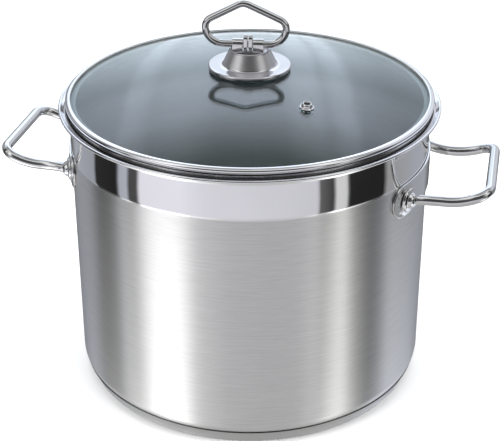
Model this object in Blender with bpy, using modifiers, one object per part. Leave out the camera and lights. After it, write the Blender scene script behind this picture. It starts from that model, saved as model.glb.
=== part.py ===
"""Water bath canner: a tall stainless pot with two wire side handles, an encapsulated base,
a domed glass lid with a steel rim, a steam vent and a ring pull, and a wire jar rack with two
folding bails inside. Metres, +Z up. The origin is the centre of the base's underside, and the
side handles point along +X and -X."""

import math

import bmesh
import bpy
from mathutils import Matrix, Vector

# --- Driving dimensions ----------------------------------------------------------------------
GAP = 0.0003                # between neighbours that touch
BIG_STEPS = 40              # facets round the pot and the lid
MID_STEPS = 24              # facets round the knob and the vent
SMALL_STEPS = 16            # facets round screws, washers and bosses

LIP_Z = 0.246               # height of the lip's widest circle
LIP_RADIUS = 0.160
BODY_RADIUS = 0.1515        # outside of the wall
WALL = 0.0008
FLARE_RADIUS = 0.0070       # inside radius of the flared lip
BEAD_RADIUS = 0.0013        # rolled edge of the lip
SHELL_BOTTOM_Z = 0.0060     # underside of the shell
SHELL_CORNER = 0.0140       # outside radius of the shell's bottom corner

CAP_SHEET = 0.0007
CAP_TOP_RADIUS = 0.1498
CAP_TOP_Z = 0.0118
CAP_FOOT_RADIUS = 0.1452
CAP_FOOT_Z = 0.0016

ROD_RADIUS = 0.0043
ROD_SIDES_LEVEL = 2
GRIP_X = 0.2058             # centre line of the handle's crossbar
GRIP_HALF_WIDTH = 0.0485
GRIP_Z = LIP_Z - 0.0453
GRIP_CORNER = 0.0140
TOE_BEND = 0.048            # how gently each arm bends beside its boss
ARM_BEND = 0.060            # and further out
ARM_MID = (0.182, 0.0495, LIP_Z - 0.0539)
ARM_TOE = (0.160, 0.0491, LIP_Z - 0.0541)
ARM_ROOT = (0.1405, 0.0572, LIP_Z - 0.0513)

STRAP_SHEET = 0.0015
STRAP_HALF_LENGTH = 0.0805  # along the wall
STRAP_HALF_HEIGHT = 0.0142
STRAP_Z = LIP_Z - 0.0500
BOSS_ANGLE = 22.0           # degrees round the wall from the handle's middle
BOSS_Z = LIP_Z - 0.0512
BOSS_RADIUS = 0.0100
BOSS_HEIGHT = 0.0066
BOSS_CLEARANCE = 0.0004     # round the rod

GLASS_RADIUS = 0.1506
GLASS_THICKNESS = 0.0035
GLASS_LAND_RADIUS = 0.1445  # flat rim of the glass, inside the steel band
GLASS_LAND_Z = LIP_Z + 0.0069
DOME_RISE = 0.0221
GLASS_BORE = 0.0050

VENT_RADIUS = 0.0835        # distance of the steam vent from the axis
VENT_ANGLE = -45.7          # degrees from +X
VENT_BORE = 0.0036

LID_YAW = 7.0               # degrees: how the ring pull is turned from the side handles
KNOB_RADIUS = 0.0344
KNOB_FLANGE_Z = LIP_Z + 0.0323
CONE_TOP_RADIUS = 0.0166
CONE_TOP_Z = LIP_Z + 0.0456
CONE_FOOT_RADIUS = 0.0222
CUP_FLOOR_Z = LIP_Z + 0.0428
KNOB_SHEET = 0.0010
SCREW_RADIUS = 0.0030

RING_WIRE = 0.0030
RING_PIVOT_Z = LIP_Z + 0.0493
RING_HALF_BASE = 0.0303
RING_HALF_WIDTH = 0.0348
RING_SHOULDER_Z = 0.0185    # above the pivot
RING_APEX_Z = 0.0356        # above the pivot, before rounding
RING_APEX_X = -0.0020       # the wire is bent a little off centre
RING_SHIFT = -0.0032        # the ring slides along its clip; it lies a little to one side
CLIP_HALF_WIDTH = 0.0130
CLIP_SHIFT = -0.0012
CLIP_INNER_EDGE = 0.0042
TONGUE_HALF_WIDTH = 0.0036
CLIP_OUTER_RADIUS = 0.0046
CLIP_CLEARANCE = 0.00045    # round the ring's wire
CLIP_PLATE = 0.0012
TONGUE_TOP_Z = 0.0079       # above the pivot
TONGUE_HALF_TOP = 0.0034
TONGUE_SLOT = 0.0009

RACK_RADIUS = 0.137
RACK_WIRE = 0.0020
CROSS_WIRE = 0.00175
CROSS_PITCH = 0.028
CROSS_COUNT = 9
SUPPORT_Y = 0.062
FOOT_HALF_WIDTH = 0.015
BAIL_PIVOT_Y = 0.112
BAIL_HALF_WIDTH = 0.049
BAIL_REACH = 0.095
BAIL_END_X = 0.063
EYE_RADIUS = 0.0032         # to the middle of the eye's wire
EYE_WIRE = 0.0008

# --- Worked out from them --------------------------------------------------------------------
CORNER_X = BODY_RADIUS - SHELL_CORNER
CORNER_Z = SHELL_BOTTOM_Z + SHELL_CORNER
DOME_SPHERE = (GLASS_LAND_RADIUS ** 2 + DOME_RISE ** 2) / (2 * DOME_RISE)
DOME_TOP_Z = GLASS_LAND_Z + DOME_RISE
STRAP_INNER = BODY_RADIUS + GAP
STRAP_OUTER = STRAP_INNER + STRAP_SHEET
POT_FLOOR_Z = SHELL_BOTTOM_Z + WALL
RACK_Z = POT_FLOOR_Z + 0.0142
CROSS_Z = RACK_Z + RACK_WIRE + GAP + CROSS_WIRE
BAIL_Z = CROSS_Z + CROSS_WIRE + GAP + EYE_WIRE + EYE_RADIUS

# --- Looks: colour, metallic, roughness ------------------------------------------------------
POLISHED = ((0.80, 0.80, 0.81), 1.0, 0.08)
BRUSHED = ((0.66, 0.66, 0.66), 1.0, 0.32)
ALUMINIUM = ((0.72, 0.73, 0.74), 1.0, 0.45)
GLASS = ((0.55, 0.66, 0.68), 0.0, 0.03)
SILICONE = ((0.10, 0.10, 0.10), 0.0, 0.60)
GLASS_ALPHA = 0.35


def clear_scene():
    for thing in list(bpy.data.objects):
        bpy.data.objects.remove(thing, do_unlink=True)


def new_collection(name):
    collection = bpy.data.collections.new(name)
    bpy.context.scene.collection.children.link(collection)
    return collection


def paint(thing, look):
    """Gives an object its own Principled material."""
    colour, metallic, roughness = look
    material = bpy.data.materials.new(thing.name + "_look")
    material.use_nodes = True
    shader = material.node_tree.nodes["Principled BSDF"]
    shader.inputs["Base Color"].default_value = (*colour, 1.0)
    shader.inputs["Metallic"].default_value = metallic
    shader.inputs["Roughness"].default_value = roughness
    if look is GLASS:
        shader.inputs["Alpha"].default_value = GLASS_ALPHA
    thing.data.materials.clear()
    thing.data.materials.append(material)


def put(name, data, look, place=Matrix()):
    """Adds a part to the model's collection."""
    thing = bpy.data.objects.new(name, data)
    thing.matrix_world = place
    PARTS.objects.link(thing)
    paint(thing, look)
    return thing


def as_cutter(thing):
    """Moves an object to the hidden collection the booleans use."""
    PARTS.objects.unlink(thing)
    CUTTERS.objects.link(thing)
    thing.hide_render = True
    thing.display_type = "WIRE"
    return thing


def boolean(thing, tool, operation):
    modifier = thing.modifiers.new(operation.lower(), "BOOLEAN")
    modifier.operation = operation
    modifier.object = tool
    modifier.solver = "EXACT"


# --- Shape makers ----------------------------------------------------------------------------
def arc(centre_x, centre_z, radius, start, end, count):
    """Points along an arc, in degrees, both ends included."""
    angles = [math.radians(start + (end - start) * i / count) for i in range(count + 1)]
    return [(centre_x + radius * math.cos(a), centre_z + radius * math.sin(a)) for a in angles]


def turned(name, profile, look, steps=BIG_STEPS, closed=True, place=Matrix()):
    """A profile of (radius, height) turned about Z; an open one starts and ends on the axis."""
    mesh = bpy.data.meshes.new(name)
    points = [(x, 0.0, z) for x, z in profile]
    edges = [(i, i + 1) for i in range(len(points) - 1)]
    if closed:
        edges.append((len(points) - 1, 0))
    mesh.from_pydata(points, edges, [])
    thing = put(name, mesh, look, place)
    screw = thing.modifiers.new("turn", "SCREW")
    screw.axis = "Z"
    screw.angle = math.tau
    screw.steps = steps
    screw.render_steps = steps
    screw.use_merge_vertices = True
    screw.merge_threshold = 0.00001
    screw.use_smooth_shade = True
    return thing


def wire(name, points, radius, look, closed=False, level=ROD_SIDES_LEVEL, place=Matrix()):
    """A round wire along a chain of points."""
    curve = bpy.data.curves.new(name, "CURVE")
    curve.dimensions = "3D"
    curve.bevel_depth = radius
    curve.bevel_resolution = level
    curve.use_fill_caps = not closed
    spline = curve.splines.new("POLY")
    spline.points.add(len(points) - 1)
    for corner, point in zip(spline.points, points):
        corner.co = (*point, 1.0)
    spline.use_cyclic_u = closed
    spline.use_smooth = True
    return put(name, curve, look, place)


def slab(name, outlines, half_depth, look, place=Matrix()):
    """A flat outline, with any holes after it, thickened both ways along local Z."""
    curve = bpy.data.curves.new(name, "CURVE")
    curve.dimensions = "2D"
    curve.fill_mode = "BOTH"
    curve.extrude = half_depth
    for outline in outlines:
        spline = curve.splines.new("POLY")
        spline.points.add(len(outline) - 1)
        for corner, (x, y) in zip(spline.points, outline):
            corner.co = (x, y, 0.0, 1.0)
        spline.use_cyclic_u = True
    return put(name, curve, look, place)


def box(name, size, look, place=Matrix()):
    """A block centred on its own origin."""
    mesh = bpy.data.meshes.new(name)
    work = bmesh.new()
    bmesh.ops.create_cube(work, size=1.0, matrix=Matrix.Diagonal((*size, 1.0)))
    work.to_mesh(mesh)
    work.free()
    return put(name, mesh, look, place)


def meshed(thing, look):
    """Turns a curve object into a mesh object of the same name, its caps welded on."""
    bpy.context.view_layer.update()
    evaluated = thing.evaluated_get(bpy.context.evaluated_depsgraph_get())
    mesh = bpy.data.meshes.new_from_object(evaluated)
    work = bmesh.new()
    work.from_mesh(mesh)
    bmesh.ops.remove_doubles(work, verts=work.verts, dist=0.000001)
    bmesh.ops.recalc_face_normals(work, faces=work.faces)
    work.to_mesh(mesh)
    work.free()
    name = thing.name
    place = thing.matrix_world.copy()
    bpy.data.objects.remove(thing, do_unlink=True)
    solid = put(name, mesh, look, place)
    solid.data.shade_smooth()
    solid.data.set_sharp_from_angle(angle=math.radians(40))
    return solid


def rounded(points, radii, steps=4):
    """A chain of points with each corner rounded to its own radius."""
    chain = [Vector(p) for p in points]
    out = []
    for i, corner in enumerate(chain):
        radius = radii[i]
        if radius == 0.0:
            out.append(corner)
            continue
        before = (chain[i - 1] - corner).normalized()
        after = (chain[(i + 1) % len(chain)] - corner).normalized()
        half = before.angle(after) / 2
        centre = corner + (before + after).normalized() * radius / math.sin(half)
        start = corner + before * radius / math.tan(half) - centre
        end = corner + after * radius / math.tan(half) - centre
        turn = start.angle(end)
        for k in range(steps + 1):
            share = k / steps
            mix = start * math.sin((1 - share) * turn) + end * math.sin(share * turn)
            out.append(centre + mix / math.sin(turn))
    return out


def dome_z(radius, drop=0.0):
    """Height of the glass dome's top at a radius, less a drop."""
    return DOME_TOP_Z - DOME_SPHERE + math.sqrt(DOME_SPHERE ** 2 - radius ** 2) - drop


# --- The pot ---------------------------------------------------------------------------------
def pot_shell():
    flare_x = BODY_RADIUS - WALL + FLARE_RADIUS
    flare_z = LIP_Z - 0.0062
    bead_x = LIP_RADIUS - BEAD_RADIUS
    bead_z = LIP_Z + 0.0005
    profile = [(0.0, POT_FLOOR_Z)]
    profile += arc(CORNER_X, CORNER_Z, SHELL_CORNER - WALL, 270, 360, 4)
    profile += arc(flare_x, flare_z, FLARE_RADIUS, 180, 102, 4)
    profile += arc(bead_x, bead_z, BEAD_RADIUS, 130, -140, 5)
    profile += arc(flare_x, flare_z, FLARE_RADIUS - WALL, 106, 180, 3)
    profile += arc(CORNER_X, CORNER_Z, SHELL_CORNER, 0, -90, 4)
    profile.append((0.0, SHELL_BOTTOM_Z))
    turned("pot_shell", profile, BRUSHED, closed=False)


def base_core():
    """The aluminium disc that spreads the heat, between the shell and the steel cap."""
    inside = CAP_SHEET + GAP
    slope = (CAP_TOP_RADIUS - CAP_FOOT_RADIUS) / (CAP_TOP_Z - CAP_FOOT_Z)
    foot_z = CAP_FOOT_Z + 0.0003
    foot_radius = CAP_FOOT_RADIUS - CAP_SHEET - 2 * GAP
    crown_z = CAP_TOP_Z - 0.0028
    profile = [(0.0, SHELL_BOTTOM_Z - GAP)]
    profile += arc(CORNER_X, CORNER_Z, SHELL_CORNER + GAP, 270, 315, 3)
    profile.append((foot_radius + slope * (crown_z - foot_z), crown_z))
    profile.append((foot_radius, foot_z))
    profile.append((CAP_FOOT_RADIUS - 0.0018, inside))
    profile.append((0.0, inside))
    turned("base_core", profile, ALUMINIUM, closed=False)


def base_cap():
    profile = [(0.0, CAP_SHEET)]
    profile.append((CAP_FOOT_RADIUS - 0.0016, CAP_SHEET))
    profile.append((CAP_FOOT_RADIUS - CAP_SHEET, CAP_FOOT_Z))
    profile.append((CAP_TOP_RADIUS - CAP_SHEET, CAP_TOP_Z - 0.0002))
    profile.append((CAP_TOP_RADIUS - 0.0002, CAP_TOP_Z))
    profile.append((CAP_TOP_RADIUS, CAP_TOP_Z - 0.0004))
    profile.append((CAP_FOOT_RADIUS, CAP_FOOT_Z - 0.0002))
    profile.append((CAP_FOOT_RADIUS - 0.0005, 0.0005))
    profile.append((CAP_FOOT_RADIUS - 0.0016, 0.0))
    profile.append((0.0, 0.0))
    turned("base_cap", profile, POLISHED, closed=False)


def wall_cutter():
    """A cylinder just outside the brackets, which trims what is welded to them."""
    radius = STRAP_OUTER + GAP
    profile = [(0.0, LIP_Z), (radius, LIP_Z), (radius, LIP_Z - 0.1), (0.0, LIP_Z - 0.1)]
    return as_cutter(turned("cutter_wall", profile, BRUSHED, closed=False))


def handle_strap(name, turn):
    """A curved strap with round ends, cut from a turned band by a prism of its outline."""
    low = STRAP_Z - 0.02
    high = STRAP_Z + 0.02
    section = [(STRAP_INNER, high), (STRAP_OUTER, high), (STRAP_OUTER, low), (STRAP_INNER, low)]
    band = turned(name, section, POLISHED, place=turn)
    straight = STRAP_HALF_LENGTH - STRAP_HALF_HEIGHT
    ends = arc(straight, 0.0, STRAP_HALF_HEIGHT, -90, 90, 8)
    ends += arc(-straight, 0.0, STRAP_HALF_HEIGHT, 90, 270, 8)
    outline = [(STRAP_OUTER * math.sin(s / STRAP_OUTER), z) for s, z in ends]
    along_x = Matrix(((0, 0, 1, 0.15), (1, 0, 0, 0), (0, 1, 0, STRAP_Z), (0, 0, 0, 1)))
    prism = slab("cutter_" + name, [outline], 0.05, POLISHED, turn @ along_x)
    boolean(band, as_cutter(meshed(prism, POLISHED)), "INTERSECT")


def handle_path():
    """The rod's centre line: out of one boss, along the grip and back into the other."""
    half = [Vector(ARM_ROOT), Vector(ARM_TOE), Vector(ARM_MID)]
    half.append(Vector((GRIP_X, GRIP_HALF_WIDTH, GRIP_Z)))
    radii = [0.0, TOE_BEND, ARM_BEND, GRIP_CORNER]
    other = [Vector((p.x, -p.y, p.z)) for p in reversed(half)]
    return rounded(half + other, radii + radii[::-1])


def handle_loop(name, turn, wall):
    rod = meshed(wire(name, handle_path(), ROD_RADIUS, POLISHED, place=turn), POLISHED)
    boolean(rod, wall, "DIFFERENCE")


def handle_boss(name, turn, side, wall):
    """A stepped dome on the strap, with a hole for the rod that ends in it."""
    foot = -0.0040
    step_z = BOSS_HEIGHT * 0.45
    profile = [(0.0, BOSS_HEIGHT), (BOSS_RADIUS * 0.35, BOSS_HEIGHT * 0.97)]
    profile += [(BOSS_RADIUS * 0.62, BOSS_HEIGHT * 0.80), (BOSS_RADIUS * 0.74, step_z)]
    profile += [(BOSS_RADIUS * 0.92, BOSS_HEIGHT * 0.33), (BOSS_RADIUS, BOSS_HEIGHT * 0.12)]
    profile += [(BOSS_RADIUS, foot), (0.0, foot)]
    seat = Matrix.Translation((STRAP_OUTER, 0, BOSS_Z)) @ Matrix.Rotation(math.pi / 2, 4, "Y")
    place = turn @ Matrix.Rotation(math.radians(side * BOSS_ANGLE), 4, "Z") @ seat
    boss = turned(name, profile, POLISHED, steps=SMALL_STEPS, closed=False, place=place)
    boolean(boss, wall, "DIFFERENCE")
    rod = wire("cutter_" + name, handle_path(), ROD_RADIUS + BOSS_CLEARANCE, POLISHED, place=turn)
    boolean(boss, as_cutter(meshed(rod, POLISHED)), "DIFFERENCE")


def side_handles():
    wall = wall_cutter()
    for name, turn in (("right", Matrix()), ("left", Matrix.Rotation(math.pi, 4, "Z"))):
        handle_strap(name + "_handle_strap", turn)
        handle_loop(name + "_handle_loop", turn, wall)
        handle_boss(name + "_handle_boss_a", turn, 1, wall)
        handle_boss(name + "_handle_boss_b", turn, -1, wall)


# --- The lid ---------------------------------------------------------------------------------
def vent_place():
    """The vent's frame: on the dome's top surface, its Z along the dome's normal."""
    angle = math.radians(VENT_ANGLE)
    point = Vector((VENT_RADIUS * math.cos(angle), VENT_RADIUS * math.sin(angle), dome_z(VENT_RADIUS)))
    normal = (point - Vector((0, 0, DOME_TOP_Z - DOME_SPHERE))).normalized()
    return Matrix.Translation(point) @ normal.to_track_quat("Z", "Y").to_matrix().to_4x4()


def lid_glass():
    land_low = GLASS_LAND_Z - GLASS_THICKNESS
    ease = 0.0003
    count = 7
    radii = [GLASS_BORE + (GLASS_LAND_RADIUS - GLASS_BORE) * i / count for i in range(count + 1)]
    profile = [(r, dome_z(r)) for r in radii]
    profile += [(GLASS_RADIUS - ease, GLASS_LAND_Z), (GLASS_RADIUS, GLASS_LAND_Z - ease)]
    profile += [(GLASS_RADIUS, land_low + ease), (GLASS_RADIUS - ease, land_low)]
    profile += [(r, dome_z(r, GLASS_THICKNESS)) for r in reversed(radii)]
    glass = turned("lid_glass", profile, GLASS)
    hole = [(0.0, 0.01), (VENT_BORE, 0.01), (VENT_BORE, -0.01), (0.0, -0.01)]
    cutter = turned("cutter_vent", hole, GLASS, steps=MID_STEPS, closed=False, place=vent_place())
    boolean(glass, as_cutter(cutter), "DIFFERENCE")


def lid_rim():
    """The roll-formed steel band: a bead and channel round the glass, a neck that rests in the
    lip's flare, and a skirt that drops inside the wall."""
    section = [(149.9, 8.7), (152.3, 8.4), (153.7, 7.4), (154.1, 6.2), (153.7, 4.4), (152.6, 3.0)]
    section += [(152.1, 2.2), (152.0, -1.6), (150.2, -3.0), (150.0, -6.6), (149.3, -6.6)]
    section += [(149.2, 0.8), (147.2, 1.7), (147.2, 2.3), (151.4, 2.3), (152.8, 4.2)]
    section += [(152.9, 7.0), (152.0, 8.0), (149.9, 8.1)]
    turned("lid_rim", [(r * 0.001, LIP_Z + z * 0.001) for r, z in section], POLISHED)


def lid_rim_gasket():
    section = [(150.0, 7.75), (151.9, 7.7), (152.5, 6.9), (152.45, 4.4), (151.2, 2.65), (147.6, 2.65)]
    section += [(147.6, 3.1), (150.95, 3.1), (150.95, 7.2), (150.0, 7.2)]
    turned("lid_rim_gasket", [(r * 0.001, LIP_Z + z * 0.001) for r, z in section], SILICONE)


def vent():
    """A riveted eyelet through the glass, over a soft washer."""
    place = vent_place()
    under = -GLASS_THICKNESS * 1000
    section = [(2.3, 4.7), (2.8, 4.9), (3.6, 4.7), (4.1, 4.1), (4.4, 3.0), (5.8, 2.0), (6.0, 1.5)]
    section += [(5.8, 1.2), (3.15, 1.2), (3.15, under - 0.35), (5.4, under - 0.45)]
    section += [(5.4, under - 1.0), (2.3, under - 1.3)]
    profile = [(r * 0.001, z * 0.001) for r, z in section]
    turned("vent_eyelet", profile, POLISHED, steps=MID_STEPS, place=place)
    washer = [(3.5, 0.9), (5.7, 0.9), (5.7, 0.3), (3.5, 0.3)]
    profile = [(r * 0.001, z * 0.001) for r, z in washer]
    turned("vent_washer", profile, SILICONE, steps=MID_STEPS, place=place)


def knob_base():
    """A pressed cup: flange, cone and recessed floor, hollow underneath."""
    flange_under = KNOB_FLANGE_Z - 0.0012
    inner = CONE_TOP_RADIUS - 0.0012
    profile = [(0.0, CUP_FLOOR_Z), (inner - 0.0008, CUP_FLOOR_Z), (inner, CUP_FLOOR_Z + 0.0008)]
    profile += [(inner + 0.0001, CONE_TOP_Z - 0.0004), (CONE_TOP_RADIUS - 0.0006, CONE_TOP_Z)]
    profile += [(CONE_TOP_RADIUS, CONE_TOP_Z - 0.0004)]
    profile += [(CONE_FOOT_RADIUS, KNOB_FLANGE_Z + 0.0010), (CONE_FOOT_RADIUS + 0.0011, KNOB_FLANGE_Z)]
    profile += [(KNOB_RADIUS - 0.0006, KNOB_FLANGE_Z), (KNOB_RADIUS, KNOB_FLANGE_Z - 0.0005)]
    profile += [(KNOB_RADIUS - 0.0006, flange_under), (CONE_FOOT_RADIUS, flange_under)]
    profile += [(CONE_FOOT_RADIUS - 0.0011, KNOB_FLANGE_Z), (CONE_TOP_RADIUS, CUP_FLOOR_Z - KNOB_SHEET)]
    profile += [(0.0, CUP_FLOOR_Z - KNOB_SHEET)]
    turned("knob_base", profile, POLISHED, steps=MID_STEPS, closed=False)


def ring_washer(name, inner, outer, low, high, look, steps=SMALL_STEPS):
    turned(name, [(inner, high), (outer, high), (outer, low), (inner, low)], look, steps=steps)


def knob_stack():
    """What clamps the knob to the glass, from the top: nut, upper gasket, stepped lower gasket,
    washer and screw."""
    flange_under = KNOB_FLANGE_Z - 0.0012
    glass_under = dome_z(0.0145, GLASS_THICKNESS)
    low = DOME_TOP_Z - 0.0001
    ring_washer("knob_upper_gasket", 0.0195, 0.0250, low, flange_under - GAP, SILICONE, MID_STEPS)
    step_top = dome_z(GLASS_BORE) - GAP
    high = glass_under - GAP
    low = high - 0.0013
    bore = SCREW_RADIUS + GAP
    sleeve = GLASS_BORE - 0.0004
    profile = [(bore, step_top), (sleeve, step_top), (sleeve, high)]
    profile += [(0.0140, high), (0.0140, low), (bore, low)]
    turned("knob_lower_gasket", profile, SILICONE, steps=MID_STEPS)
    plate_high = low - GAP
    plate_low = plate_high - 0.0012
    ring_washer("knob_washer", bore, 0.0125, plate_low, plate_high, POLISHED)
    head_high = plate_low - GAP
    head_low = head_high - 0.0030
    nut_high = CUP_FLOOR_Z - KNOB_SHEET - GAP
    profile = [(0.0, nut_high - 0.0005), (SCREW_RADIUS - 0.0005, nut_high - 0.0005)]
    profile += [(SCREW_RADIUS, nut_high - 0.001), (SCREW_RADIUS, head_high), (0.0060, head_high)]
    profile += [(0.0060, head_low + 0.0012), (0.0045, head_low), (0.0, head_low)]
    turned("knob_screw", profile, POLISHED, steps=SMALL_STEPS, closed=False)
    nut_height = 0.0050
    corners = [i * math.pi / 3 for i in range(6)]
    hexagon = [(0.0058 * math.cos(a), 0.0058 * math.sin(a)) for a in corners]
    nut_bore = 0.0034
    turns = [i * math.tau / SMALL_STEPS for i in range(SMALL_STEPS)]
    hole = [(nut_bore * math.cos(a), nut_bore * math.sin(a)) for a in turns]
    place = Matrix.Translation((0, 0, nut_high - nut_height / 2))
    meshed(slab("knob_nut", [hexagon, hole], nut_height / 2, POLISHED, place), POLISHED)


def ring_frame():
    """The ring pull's frame: on its pivot, X along the base run, Z up."""
    return Matrix.Translation((0, 0, RING_PIVOT_Z)) @ Matrix.Rotation(math.radians(LID_YAW), 4, "Z")


def clip_slab(name, top, half_top, foot_z, span):
    """A strap's section, wrapped over the wire, from one place to another along the base run."""
    foot = foot_z - RING_PIVOT_Z
    outer = [(CLIP_OUTER_RADIUS, foot), (CLIP_OUTER_RADIUS, 0.0)]
    outer += arc(0.0, top - half_top, half_top, 0, 180, 8)
    outer += [(-CLIP_OUTER_RADIUS, 0.0), (-CLIP_OUTER_RADIUS, foot)]
    hole = arc(0.0, 0.0, RING_WIRE + CLIP_CLEARANCE, 0, 360, 12)[:-1]
    across = Matrix(((0, 0, 1, sum(span) / 2), (1, 0, 0, 0), (0, 1, 0, 0), (0, 0, 0, 1)))
    half = abs(span[1] - span[0]) / 2
    return meshed(slab(name, [outer, hole], half, POLISHED, ring_frame() @ across), POLISHED)


def ring_clip():
    """A saddle welded in the cup: a foot plate with a knuckle at each end."""
    plate_low = CUP_FLOOR_Z + GAP
    plate_size = (CLIP_HALF_WIDTH * 2 - 0.0020, CLIP_OUTER_RADIUS * 2 - 0.0002, CLIP_PLATE)
    middle = Matrix.Translation((CLIP_SHIFT, 0, plate_low + CLIP_PLATE / 2 - RING_PIVOT_Z))
    plate = box("ring_clip", plate_size, POLISHED, ring_frame() @ middle)
    for mark, side in (("a", 1), ("b", -1)):
        span = (CLIP_SHIFT + side * CLIP_INNER_EDGE, CLIP_SHIFT + side * CLIP_HALF_WIDTH)
        knuckle = clip_slab("cutter_knuckle_" + mark, CLIP_OUTER_RADIUS, CLIP_OUTER_RADIUS,
                            plate_low + CLIP_PLATE * 0.75, span)
        boolean(plate, as_cutter(knuckle), "UNION")


def clip_tongue():
    """The taller fold in the middle of the clip, slotted down its length."""
    span = (CLIP_SHIFT - TONGUE_HALF_WIDTH, CLIP_SHIFT + TONGUE_HALF_WIDTH)
    foot_z = CUP_FLOOR_Z + GAP + CLIP_PLATE + GAP
    tongue = clip_slab("clip_tongue", TONGUE_TOP_Z, TONGUE_HALF_TOP, foot_z, span)
    slot_height = 0.006
    slot_low = RING_WIRE + 0.0010
    place = ring_frame() @ Matrix.Translation((CLIP_SHIFT, 0, slot_low + slot_height / 2))
    slot = box("cutter_slot", (TONGUE_SLOT, 0.020, slot_height), POLISHED, place)
    boolean(tongue, as_cutter(slot), "DIFFERENCE")


def lid_ring():
    left = RING_SHIFT - RING_HALF_WIDTH
    right = RING_SHIFT + RING_HALF_WIDTH
    corners = [(RING_SHIFT - RING_HALF_BASE, 0, 0), (left, 0, RING_SHOULDER_Z)]
    corners += [(RING_SHIFT + RING_APEX_X, 0, RING_APEX_Z), (right, 0, RING_SHOULDER_Z)]
    corners.append((RING_SHIFT + RING_HALF_BASE, 0, 0))
    path = rounded(corners, [0.0145, 0.009, 0.010, 0.009, 0.0145], steps=5)
    wire("lid_ring", path, RING_WIRE, POLISHED, closed=True, place=ring_frame())


# --- The jar rack ----------------------------------------------------------------------------
def rack_frame():
    turns = [i * math.tau / BIG_STEPS for i in range(BIG_STEPS)]
    circle = [(RACK_RADIUS * math.cos(a), RACK_RADIUS * math.sin(a), RACK_Z) for a in turns]
    wire("rack_outer_ring", circle, RACK_WIRE, POLISHED, closed=True, level=1)
    inside = RACK_RADIUS - RACK_WIRE - 0.0008
    for name, y in (("front", -SUPPORT_Y), ("rear", SUPPORT_Y)):
        half = math.sqrt(inside ** 2 - (SUPPORT_Y + RACK_WIRE) ** 2) - GAP
        wire("rack_support_" + name, [(-half, y, RACK_Z), (half, y, RACK_Z)], RACK_WIRE, POLISHED)
    for i in range(CROSS_COUNT):
        x = (i - (CROSS_COUNT - 1) / 2) * CROSS_PITCH
        half = math.sqrt(RACK_RADIUS ** 2 - x ** 2)
        ends = [(x, -half, CROSS_Z), (x, half, CROSS_Z)]
        wire("rack_cross_wire_%d" % (i + 1), ends, CROSS_WIRE, POLISHED)


def rack_feet():
    """Four bent wires that stand the rack off the pot's floor."""
    top = RACK_Z - RACK_WIRE - GAP
    bottom = POT_FLOOR_Z + GAP + CROSS_WIRE
    radius = RACK_RADIUS - 0.0015
    corners = [(0, -FOOT_HALF_WIDTH, top), (0, -FOOT_HALF_WIDTH + 0.003, bottom)]
    corners += [(0, FOOT_HALF_WIDTH - 0.003, bottom), (0, FOOT_HALF_WIDTH, top)]
    path = rounded(corners, [0.0, 0.004, 0.004, 0.0], steps=2)
    for i in range(4):
        turn = Matrix.Rotation(math.radians(45 + 90 * i), 4, "Z") @ Matrix.Translation((radius, 0, 0))
        wire("rack_foot_%d" % (i + 1), path, CROSS_WIRE, POLISHED, level=1, place=turn)


def rack_bails():
    """Two folding bails that lift the rack, hinged in eyes on the cross wires."""
    eye_x = CROSS_PITCH * 2
    section = arc(EYE_RADIUS, 0.0, EYE_WIRE, 360, 0, 6)[:-1]
    for name, side in (("front", -1), ("rear", 1)):
        pivot = Matrix.Translation((0, side * BAIL_PIVOT_Y, BAIL_Z))
        corners = [(BAIL_END_X, 0, 0), (BAIL_HALF_WIDTH, 0, 0)]
        corners.append((BAIL_HALF_WIDTH - 0.006, -side * BAIL_REACH, 0))
        corners += [(-x, y, z) for x, y, z in reversed(corners)]
        path = rounded(corners, [0.0, 0.005, 0.022, 0.022, 0.005, 0.0])
        wire("rack_bail_" + name, path, RACK_WIRE, POLISHED, place=pivot)
        for mark, x in (("a", eye_x), ("b", -eye_x)):
            place = pivot @ Matrix.Translation((x, 0, 0)) @ Matrix.Rotation(math.pi / 2, 4, "Y")
            turned("rack_eye_%s_%s" % (name, mark), section, POLISHED, steps=12, place=place)


clear_scene()
PARTS = new_collection("water_bath_canner")
CUTTERS = new_collection("cutters")
pot_shell()
base_core()
base_cap()
side_handles()
lid_glass()
lid_rim()
lid_rim_gasket()
vent()
knob_base()
knob_stack()
ring_clip()
clip_tongue()
lid_ring()
rack_frame()
rack_feet()
rack_bails()
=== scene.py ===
import math

import bmesh
import bpy
from mathutils import Matrix, Vector


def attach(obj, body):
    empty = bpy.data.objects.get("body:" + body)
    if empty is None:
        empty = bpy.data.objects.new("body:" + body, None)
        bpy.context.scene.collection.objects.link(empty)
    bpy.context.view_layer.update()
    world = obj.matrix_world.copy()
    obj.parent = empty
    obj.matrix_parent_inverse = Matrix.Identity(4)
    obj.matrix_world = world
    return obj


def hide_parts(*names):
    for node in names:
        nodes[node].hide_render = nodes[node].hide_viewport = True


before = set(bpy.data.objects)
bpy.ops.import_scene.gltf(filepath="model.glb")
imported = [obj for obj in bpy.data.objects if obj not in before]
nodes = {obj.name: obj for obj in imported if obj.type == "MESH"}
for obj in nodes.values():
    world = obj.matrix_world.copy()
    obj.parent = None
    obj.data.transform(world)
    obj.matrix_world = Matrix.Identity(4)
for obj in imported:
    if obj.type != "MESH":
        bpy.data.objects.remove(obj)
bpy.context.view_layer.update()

scene = bpy.context.scene

# --- Sizes, in metres, the same as the CAD part's -----------------------------------------------
GAP = 0.0003                        # left between parts that touch in the real object
LIP_Z = 0.246
LIP_RADIUS = 0.160
BODY_RADIUS = 0.1515                # outside of the wall
WALL = 0.0008
FLARE_RADIUS = 0.0070
BEAD_RADIUS = 0.0013
SHELL_BOTTOM_Z = 0.0060
SHELL_CORNER = 0.0140
POT_FLOOR_Z = SHELL_BOTTOM_Z + WALL

CAP_SHEET = 0.0007
CAP_TOP_RADIUS = 0.1498
CAP_TOP_Z = 0.0118
CAP_FOOT_RADIUS = 0.1452
CAP_FOOT_Z = 0.0016

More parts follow.
